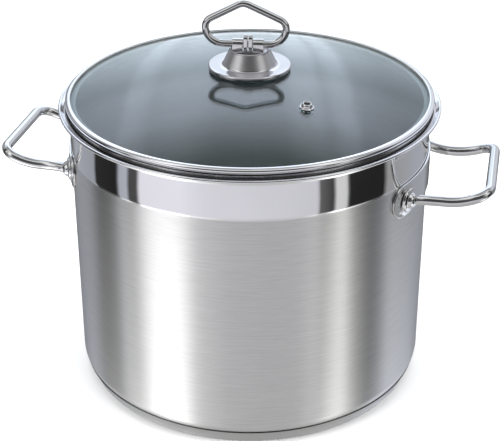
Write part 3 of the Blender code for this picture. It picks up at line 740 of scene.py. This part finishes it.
def knob_stack():
    """What holds the knob: a pad over the glass, a pad and a plate under it, and the bolt."""
    bolt_hole = 0.0033
    inner, outer = 0.0195, 0.0250
    high = KNOB_FLANGE_Z - KNOB_SHEET - GAP
    pad = [(inner, high), (outer, high), (outer, DOME_TOP_Z - 0.0004), (inner, DOME_TOP_Z - 0.0003)]
    lathe("knob_pad_upper", "lid", softened(pad), SILICONE, steps=96, replaces=["knob_upper_gasket"],
          slot="silicone")
    high = dome_z(0.0145, GLASS_THICKNESS) - GAP
    low = high - 0.0013
    step = dome_z(GLASS_BORE) - GAP
    pad = [(bolt_hole, step), (0.0046, step), (0.0046, high), (0.0140, high), (0.0140, low), (bolt_hole, low)]
    lathe("knob_pad_lower", "lid", softened(pad), SILICONE, steps=96, replaces=["knob_lower_gasket"],
          slot="silicone")
    high, low = low - GAP, low - 0.0015
    plate = [(bolt_hole, high), (0.0125, high), (0.0125, low), (bolt_hole, low)]
    lathe("knob_plate", "lid", softened(plate), PRESSED, steps=SMALL_ROUND, replaces=["knob_washer"])
    head = low - GAP
    tip = CUP_FLOOR_Z - 0.0018
    profile = [(0.0, tip), (0.0025, tip), (0.0030, tip - 0.0005), (0.0030, head), (0.0060, head)]
    profile += [(0.0060, head - 0.0016), (0.0052, head - 0.0024), (0.0040, head - 0.0029)]
    profile += [(0.0020, head - 0.0030), (0.0018, head - 0.0014), (0.0, head - 0.0014)]
    lathe("knob_bolt", "lid", profile, PRESSED, steps=SMALL_ROUND, closed=False, replaces=["knob_screw"])


def ring_frame():
    """The ring pull's pivot, with X along its wire."""
    return Matrix.Translation((0, 0, RING_PIVOT_Z)) @ Matrix.Rotation(math.radians(LID_YAW), 4, "Z")


def stood_across(middle):
    """Stands a flat block on edge across the ring's wire, with its middle at the given place."""
    return ring_frame() @ Matrix(((0, 0, 1, middle), (1, 0, 0, 0), (0, 1, 0, 0), (0, 0, 0, 1)))


def ring_clip():
    """The saddle over the wire: two knuckles on a foot, and the taller slotted tongue."""
    foot = CUP_FLOOR_Z + GAP - RING_PIVOT_Z
    spread = CLIP_OUTER_RADIUS + 0.0008
    shoulder = -0.0004
    outer = [(spread, foot), (CLIP_OUTER_RADIUS, shoulder)]
    outer += arc(0.0, 0.0, CLIP_OUTER_RADIUS, 0, 180, 28)
    outer += [(-CLIP_OUTER_RADIUS, shoulder), (-spread, foot)]
    hole = arc(0.0, 0.0, RING_WIRE + CLIP_CLEARANCE, 0, 360, 40)[:-1]
    half = (CLIP_HALF_WIDTH - CLIP_INNER_EDGE) / 2
    for mark, side in (("a", 1), ("b", -1)):
        place = stood_across(CLIP_SHIFT + side * (CLIP_INNER_EDGE + half))
        block("clip_knuckle_" + mark, "lid", [outer, hole], half, PRESSED, place=place,
              replaces=["ring_clip"] if side > 0 else ())
    x, y, half_plate = CLIP_HALF_WIDTH - 0.0010, 0.0045, CLIP_PLATE / 2
    low = ring_frame() @ Matrix.Translation((CLIP_SHIFT, 0, foot + half_plate))
    block("clip_foot", "lid", [[(x, y), (x, -y), (-x, -y), (-x, y)]], half_plate, PRESSED, place=low)
    edge = CLIP_OUTER_RADIUS - 0.0002
    tall = [(edge, foot + 0.0015), (edge, 0.0)]
    tall += arc(0.0, TONGUE_TOP_Z - TONGUE_HALF_TOP, TONGUE_HALF_TOP, 0, 180, 24)
    tall += [(-edge, 0.0), (-edge, foot + 0.0015)]
    leaf = (TONGUE_HALF_WIDTH - TONGUE_SLOT / 2) / 2
    for mark, side in (("a", 1), ("b", -1)):
        place = stood_across(CLIP_SHIFT + side * (TONGUE_SLOT / 2 + leaf))
        block("tongue_leaf_" + mark, "lid", [tall, hole], leaf, PRESSED, place=place,
              replaces=["clip_tongue"] if side > 0 else ())


def lid_ring():
    """The ring pull, upright: a flat base, two shoulders and a blunt point."""
    corners = [(-RING_HALF_BASE, 0.0), (-RING_HALF_WIDTH, RING_SHOULDER_Z), (RING_APEX_X, RING_APEX_Z)]
    corners += [(RING_HALF_WIDTH, RING_SHOULDER_Z), (RING_HALF_BASE, 0.0)]
    corners = [(RING_SHIFT + x, 0.0, z) for x, z in corners]
    path = rounded(corners, [0.0145, 0.009, 0.010, 0.009, 0.0145], 16)
    tube("ring_pull", "lid_ring", path, RING_WIRE, ROD_STEEL, sides=32, closed=True, place=ring_frame(),
         replaces=["lid_ring"])


# --- The jar rack -------------------------------------------------------------------------------
def rack_wires():
    """The outer ring, the two bars under the floor and the nine cross wires."""
    circle = [(RACK_RADIUS * math.cos(a), RACK_RADIUS * math.sin(a), RACK_Z)
              for a in (math.tau * i / 128 for i in range(128))]
    tube("rack_hoop", "rack", circle, RACK_WIRE, RACK_STEEL, sides=16, closed=True,
         replaces=["rack_outer_ring"])
    inside = RACK_RADIUS - RACK_WIRE - 0.0008
    half = math.sqrt(inside ** 2 - (SUPPORT_Y + RACK_WIRE) ** 2) - GAP
    for name, y in (("front", -SUPPORT_Y), ("rear", SUPPORT_Y)):
        tube("rack_bar_" + name, "rack", [(-half, y, RACK_Z), (half, y, RACK_Z)], RACK_WIRE, RACK_STEEL,
             sides=20, replaces=["rack_support_" + name])
    for i in range(CROSS_COUNT):
        x = (i - CROSS_COUNT // 2) * CROSS_PITCH
        reach = math.sqrt(RACK_RADIUS ** 2 - x ** 2)
        tube("rack_wire_%d" % (i + 1), "rack", [(x, -reach, CROSS_Z), (x, reach, CROSS_Z)], CROSS_WIRE,
             RACK_STEEL, sides=16, replaces=["rack_cross_wire_%d" % (i + 1)])


def rack_legs():
    """Four bent feet under the outer ring."""
    top, bottom = RACK_Z - RACK_WIRE - GAP, POT_FLOOR_Z + GAP + CROSS_WIRE
    wide, narrow = FOOT_HALF_WIDTH, 0.012
    corners = [(0, -wide, top), (0, -narrow, bottom), (0, narrow, bottom), (0, wide, top)]
    path = rounded(corners, [0.0, 0.004, 0.004, 0.0], 6)
    for i in range(4):
        turn = Matrix.Rotation(math.radians(45 + 90 * i), 4, "Z")
        place = turn @ Matrix.Translation((RACK_RADIUS - 0.0015, 0, 0))
        tube("rack_leg_%d" % (i + 1), "rack", path, CROSS_WIRE, RACK_STEEL, sides=14, place=place,
             replaces=["rack_foot_%d" % (i + 1)])


def rack_bails():
    """The two folding bails, lying flat, and the eyes that they turn in."""
    eye_x = 2 * CROSS_PITCH
    for name, side in (("front", -1), ("rear", 1)):
        pivot = Matrix.Translation((0, side * BAIL_PIVOT_Y, BAIL_Z))
        corners = [(BAIL_END_X, 0, 0), (BAIL_HALF_WIDTH, 0, 0), (0.043, -side * BAIL_REACH, 0)]
        corners += [(-x, y, z) for x, y, z in reversed(corners)]
        path = rounded(corners, [0.0, 0.005, 0.022, 0.022, 0.005, 0.0], 12)
        tube("bail_" + name, "rack_bail_" + name, path, RACK_WIRE, RACK_STEEL, sides=18, place=pivot,
             replaces=["rack_bail_" + name])
        for mark, x in (("a", eye_x), ("b", -eye_x)):
            place = pivot @ Matrix.Translation((x, 0, 0)) @ Matrix.Rotation(math.pi / 2, 4, "Y")
            profile = arc(EYE_RADIUS, 0.0, EYE_WIRE, 0, 360, 12)[:-1]
            lathe("rack_loop_%s_%s" % (name, mark), "rack", profile, RACK_STEEL, steps=32, place=place,
                  replaces=["rack_eye_%s_%s" % (name, mark)])


pot_shell()
base_cap()
side_handles()
lid_glass()
lid_rim()
vent()
knob_cup()
knob_stack()
ring_clip()
lid_ring()
rack_wires()
rack_legs()
rack_bails()
for node_name, look in (("base_core", ALUMINIUM), ("knob_nut", PRESSED)):
    nodes[node_name].data.materials.clear()
    nodes[node_name].data.materials.append(look)


# --- Floor, light and camera --------------------------------------------------------------------
CAMERA_AZIMUTH = math.radians(12.0)

# The surroundings' brightness by azimuth, in degrees from the camera's own, with a tint.
COOL, PLAIN, LILAC = (0.92, 0.96, 1.06), (1.0, 1.0, 1.0), (0.98, 0.97, 1.04)
NEAR = [    # well under the horizon; the brushed wall and the handles reflect it
    (-180, 0.12, COOL), (-158, 0.15, COOL), (-144, 0.80, COOL), (-116, 0.80, PLAIN), (-98, 0.75, PLAIN),
    (-92, 1.80, PLAIN), (-84, 1.80, PLAIN), (-78, 1.15, PLAIN), (-71, 3.50, PLAIN), (-50, 3.50, PLAIN),
    (-38, 1.20, PLAIN), (-15, 0.70, PLAIN), (10, 0.62, PLAIN), (34, 0.66, PLAIN), (42, 1.00, PLAIN),
    (50, 0.90, PLAIN), (55, 2.20, PLAIN), (66, 2.20, PLAIN), (80, 1.10, PLAIN), (88, 0.35, PLAIN),
    (95, 0.50, PLAIN), (108, 1.35, COOL), (144, 1.00, COOL), (158, 0.15, COOL), (180, 0.12, COOL)]
LOW = [     # just under the horizon, with the dark bars that show in the polished band
    (-180, 0.12, PLAIN), (-158, 0.14, PLAIN), (-146, 0.45, COOL), (-117, 0.40, COOL), (-114, 0.03, PLAIN),
    (-93, 0.02, PLAIN), (-90, 0.50, COOL), (-84, 0.54, COOL), (-82, 0.08, PLAIN), (-76, 0.08, PLAIN),
    (-73, 0.93, LILAC), (-45, 0.95, LILAC), (-28, 0.84, LILAC), (43, 0.72, LILAC), (45, 0.14, PLAIN),
    (54, 0.05, PLAIN), (56, 0.74, PLAIN), (63, 0.72, PLAIN), (65, 0.02, PLAIN), (93, 0.02, PLAIN),
    (97, 0.36, PLAIN), (130, 0.45, COOL), (146, 0.45, COOL), (158, 0.14, PLAIN), (180, 0.12, PLAIN)]
HIGH = [    # over the horizon; the rim and the knob reflect it
    (-180, 0.30, LILAC), (-150, 0.30, LILAC), (-132, 0.50, COOL), (-112, 0.55, PLAIN),
    (-108, 0.10, PLAIN), (-94, 0.10, PLAIN), (-89, 0.9, PLAIN), (-81, 0.9, PLAIN), (-78, 0.5, PLAIN),
    (-74, 0.5, PLAIN), (-70, 1.3, PLAIN), (-52, 1.3, PLAIN), (-42, 0.30, PLAIN), (-30, 0.10, PLAIN),
    (0, 0.08, PLAIN), (30, 0.09, PLAIN), (38, 0.25, PLAIN), (46, 0.7, PLAIN), (50, 0.6, PLAIN),
    (54, 1.2, PLAIN), (70, 0.9, PLAIN), (78, 0.3, PLAIN), (88, 0.1, PLAIN), (95, 0.6, PLAIN),
    (112, 0.9, COOL), (135, 0.9, COOL), (152, 0.95, LILAC), (174, 0.95, LILAC), (180, 0.30, LILAC)]

# The window behind the pot, which the glass reflects: colour by height, and its panes across.
WINDOW = [(0.00, (1.00, 1.12, 1.24)), (0.10, (1.15, 1.28, 1.44)), (0.24, (1.10, 1.22, 1.38)),
          (0.30, (1.45, 1.58, 1.80)), (0.44, (1.60, 1.72, 1.98)), (0.53, (1.05, 1.12, 1.24)),
          (0.62, (0.36, 0.38, 0.39)), (0.80, (0.40, 0.41, 0.42))]
PANES = [(0.00, 0.74), (0.10, 0.84), (0.18, 0.95), (0.20, 1.16), (0.24, 1.16), (0.27, 1.00),
         (0.34, 1.08), (0.38, 1.08), (0.42, 1.00), (0.58, 0.98), (0.61, 1.18), (0.66, 1.18),
         (0.68, 1.00), (0.71, 1.16), (0.74, 1.16), (0.77, 0.85), (0.88, 0.68), (1.00, 0.66)]


def round_ramp(m, share, table):
    """A ramp right round the horizon, from rows of degrees, level and tint."""
    return m.ramp(share, [((degrees + 180) / 360, tuple(part * level for part in tint))
                          for degrees, level, tint in table])


def room(m, azimuth, height):
    """The room by azimuth and by height, where 1 is straight up, and its ceiling light."""
    share = m.math("ADD", m.math("DIVIDE", azimuth, math.tau), 0.5)
    near, low, high = (round_ramp(m, share, table) for table in (NEAR, LOW, HIGH))
    under = m.mix(m.smooth(height, -0.66, -0.54), grey(0.62), near)
    lower = m.mix(m.smooth(height, -0.40, -0.32), under, low)
    walls = m.mix(m.smooth(height, -0.03, 0.01), lower, grey(0.07))
    walls = m.mix(m.smooth(height, 0.08, 0.14), walls, high)
    front = m.mix(m.smooth(height, 0.60, 0.68), walls, (1.15, 1.16, 1.18))
    front = m.mix(m.smooth(height, 0.74, 0.84), front, (0.50, 0.51, 0.53))
    back = m.mix(m.smooth(height, -0.03, 0.03), lower, high)
    beyond = m.smooth(m.math("ABSOLUTE", azimuth), math.radians(118), math.radians(140))
    return m.mix(beyond, front, back)


def window(m, x, y, z, height):
    """The window's colour, and its share of the light from each direction."""
    # Across the window by the tilt that mirrors a direction, so its panes run straight over the lid.
    tilt = m.math("ADD", m.math("MULTIPLY", m.math("ARCSINE", z), 0.5), math.radians(12.5))
    spread = m.math("DIVIDE", x, m.math("MAXIMUM", m.math("SINE", tilt), 0.10))
    across = m.make("ShaderNodeMapRange", {0: spread, 1: -0.95, 2: 0.95}).outputs[0]
    panes = m.ramp(across, [(place, grey(level)) for place, level in PANES])
    inputs = {0: m.ramp(height, WINDOW), 1: panes}
    glow = m.make("ShaderNodeVectorMath", inputs, operation="MULTIPLY").outputs[0]
    inside = m.smooth(m.math("ABSOLUTE", spread), 1.15, 0.95)
    inside = m.math("MULTIPLY", inside, m.smooth(y, 0.1, 0.3))
    inside = m.math("MULTIPLY", inside, m.smooth(height, -0.16, -0.10))
    return glow, inside


def surroundings():
    """A procedural studio round the object: walls, ceiling and a window behind."""
    world = bpy.data.worlds.new("studio")
    scene.world = world
    world.use_nodes = True
    tree = world.node_tree
    tree.nodes.clear()
    m = Nodes(tree)
    direction = m.make("ShaderNodeTexCoord").outputs["Generated"]
    turn = {"Vector": direction, "Angle": -CAMERA_AZIMUTH}
    turned = m.make("ShaderNodeVectorRotate", turn, rotation_type="Z_AXIS").outputs[0]
    x, y, z = m.make("ShaderNodeSeparateXYZ", {0: turned}).outputs
    azimuth = m.math("ARCTAN2", x, m.math("MULTIPLY", y, -1.0))
    height = m.math("DIVIDE", m.math("ARCSINE", z), math.pi / 2)
    glow, inside = window(m, x, y, z, height)
    colour = m.mix(inside, room(m, azimuth, height), glow)
    background = m.make("ShaderNodeBackground", {"Color": colour, "Strength": 1.0})
    output = m.make("ShaderNodeOutputWorld")
    tree.links.new(background.outputs[0], output.inputs[0])


def studio_floor():
    """A plain pale floor just under the pot, which metal doesn't reflect."""
    bpy.ops.mesh.primitive_plane_add(size=14.0, location=(0, 0, -0.0002))
    floor = bpy.context.object
    floor.name = "floor"
    floor.data.materials.append(floor_material())
    floor.visible_glossy = False


def lamps():
    """Three soft lamps; steel and glass show the surroundings and not the lamps themselves."""
    aim = Vector((0, 0, 0.1))
    for name, spot, size, power in (
            ("soft_left", (-1.6, -1.4, 2.2), 2.0, 50),
            ("soft_right", (1.8, -0.6, 2.0), 2.0, 42),
            ("soft_top", (0.0, 0.4, 2.6), 2.4, 54)):
        lamp = bpy.data.lights.new(name, "AREA")
        lamp.size = size
        lamp.energy = power
        thing = bpy.data.objects.new(name, lamp)
        thing.location = spot
        thing.rotation_euler = (aim - Vector(spot)).to_track_quat("-Z", "Y").to_euler()
        thing.visible_glossy = False
        thing.visible_transmission = False
        scene.collection.objects.link(thing)


def camera():
    """The main view, 12 degrees to the right of the front and 23 degrees over the lip."""
    distance, elevation, pitch, roll = 7.0 * LIP_RADIUS, 0.3968, 0.4879, math.radians(-0.1)
    place = Matrix.Translation((0, 0, LIP_Z)) @ Matrix.Rotation(CAMERA_AZIMUTH, 4, "Z")
    place @= Matrix.Translation((0, -distance * math.cos(elevation), distance * math.sin(elevation)))
    place @= Matrix.Rotation(math.pi / 2 - pitch, 4, "X") @ Matrix.Rotation(roll, 4, "Z")
    data = bpy.data.cameras.new("view")
    data.lens = 95.486
    data.sensor_width = 36.0
    data.clip_start = 0.05
    data.clip_end = 60.0
    thing = bpy.data.objects.new("view", data)
    thing.matrix_world = place
    scene.collection.objects.link(thing)
    scene.camera = thing


studio_floor()
surroundings()
lamps()
camera()
scene.view_settings.view_transform = "Standard"
